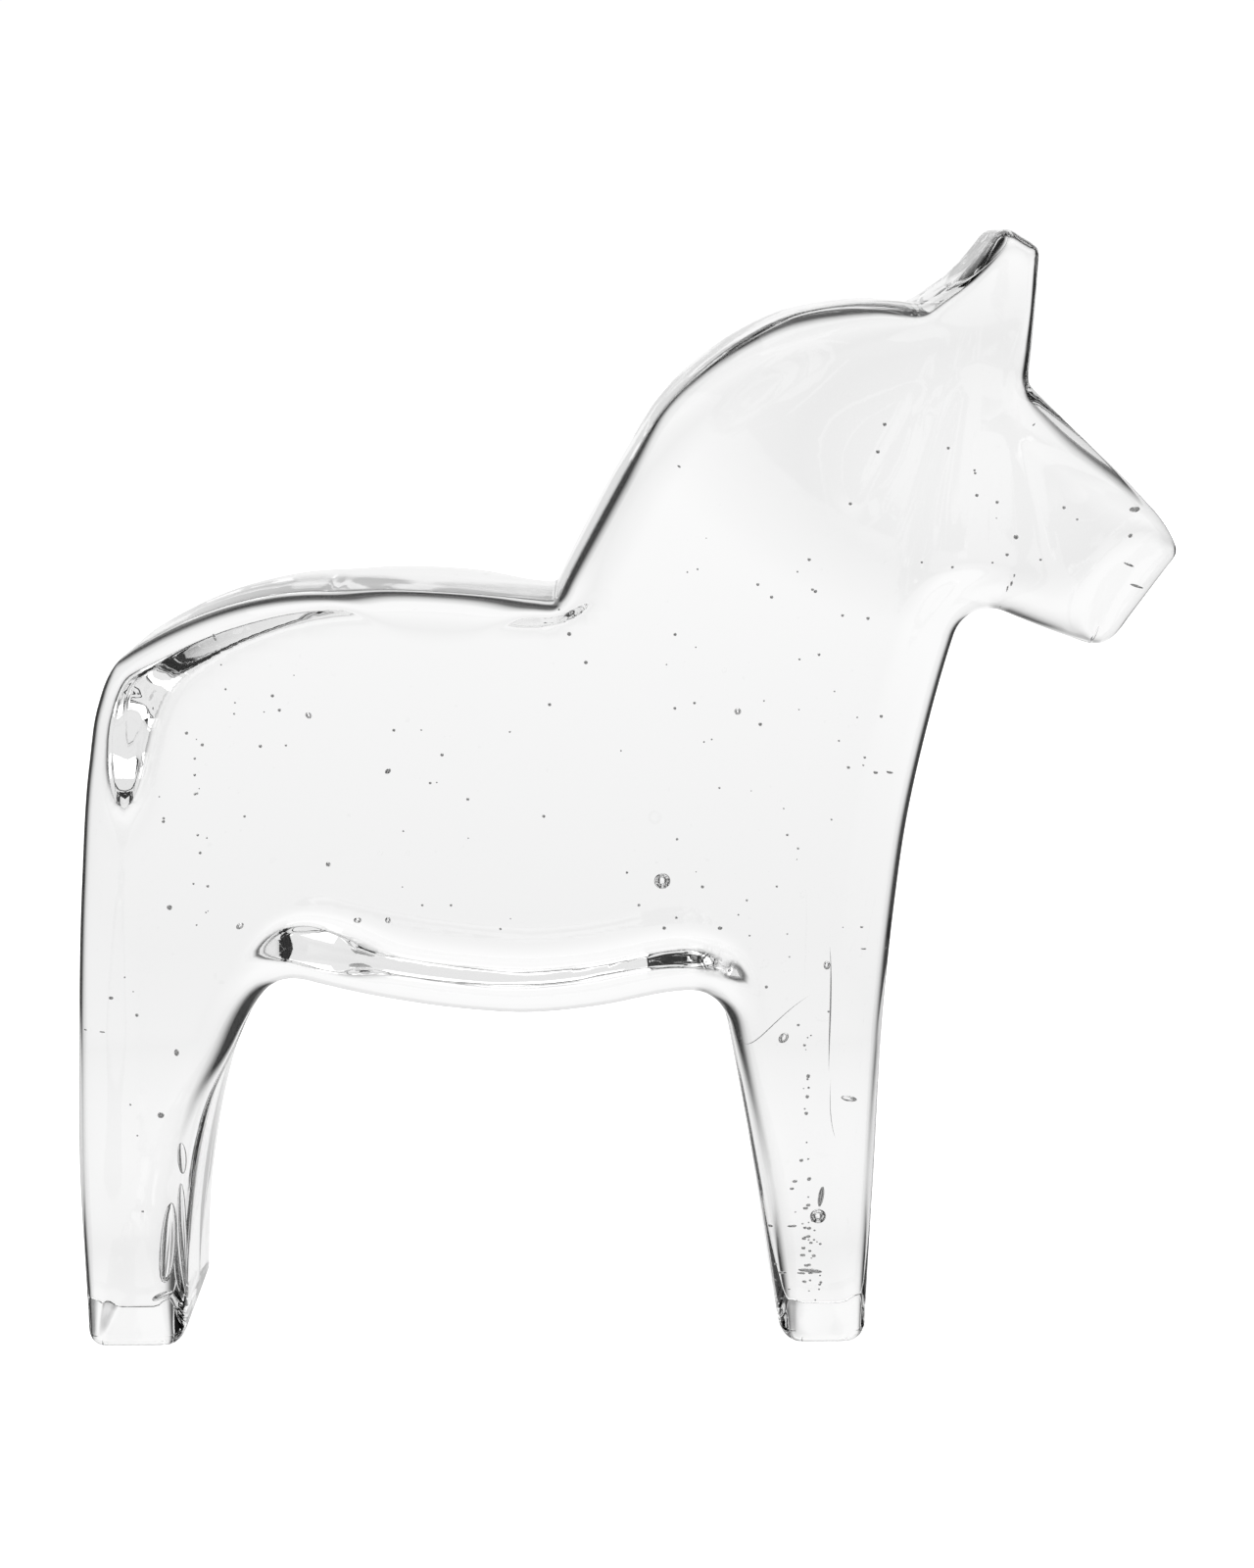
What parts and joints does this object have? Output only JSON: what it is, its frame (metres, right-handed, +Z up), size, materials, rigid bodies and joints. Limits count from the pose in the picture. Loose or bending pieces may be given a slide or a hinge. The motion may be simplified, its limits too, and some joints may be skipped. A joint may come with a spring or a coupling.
{
  "type": "glass horse figurine",
  "caption": "Thick slab of clear cast glass in the outline of a standing folk-art horse, with rounded edges.",
  "frame": {"origin": "bottom centre of the bounding box, at the height of the soles", "axes": "+Z up, +X towards the horse's nose, +Y from the flat front face to the back face, through the thickness"},
  "size_m": [0.1074, 0.027, 0.11],
  "materials": {
    "clear_glass": "clear, fire-polished, with small bubbles inside"
  },
  "bodies": {
    "root": {"glass_horse": "clear_glass"}
  },
  "joints": []
}
